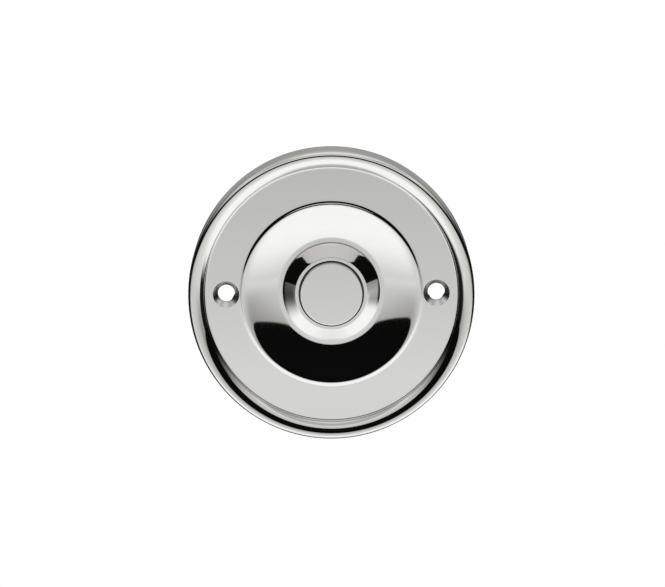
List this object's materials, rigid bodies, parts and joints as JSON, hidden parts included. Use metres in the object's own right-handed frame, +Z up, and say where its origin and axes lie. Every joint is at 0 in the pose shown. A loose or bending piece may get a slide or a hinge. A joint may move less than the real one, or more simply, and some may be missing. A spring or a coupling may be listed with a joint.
{
  "type": "doorbell push button",
  "caption": "Round doorbell push: bead-rimmed, dished chrome rose with a flat button in a conical boss, countersunk wall holes, and a screw-terminal switch behind.",
  "frame": {"origin": "centre of the rose's back edge, in the plane of the wall", "axes": "+Y into the wall, away from the face; +Z up as fixed; +X through the wall screw holes"},
  "size_m": [0.0762, 0.015, 0.0762],
  "materials": {
    "chromed_brass": "polished chrome plate on turned brass",
    "black_phenolic": "compression-moulded, slightly glossy",
    "phosphor_bronze": "rolled strip",
    "bare_brass": "turned and stamped, lightly dulled",
    "contact_silver": "headed silver rivet",
    "zinc_steel": "bright zinc plate"
  },
  "bodies": {
    "rose": {"rose_plate": "chromed_brass", "switch_cup": "black_phenolic", "leaf_spring": "phosphor_bronze", "fixed_contact": "bare_brass", "fixed_contact_tip": "contact_silver", "leaf_post": "bare_brass", "fixed_post": "bare_brass", "terminal_screws": "bare_brass", "terminal_washers": "bare_brass", "cup_screws": "zinc_steel", "cup_washers": "zinc_steel"},
    "button": {"push_button": "chromed_brass", "moving_contact_tip": "contact_silver"}
  },
  "joints": [
    {"name": "button_press", "type": "slide", "parent": "rose", "child": "button", "axis": [0, 1, 0], "range_m": [0, 0.0015], "stiffness_N_per_m": 1500, "springref_m": -0.0005, "deforming": ["leaf_spring"]}
  ]
}
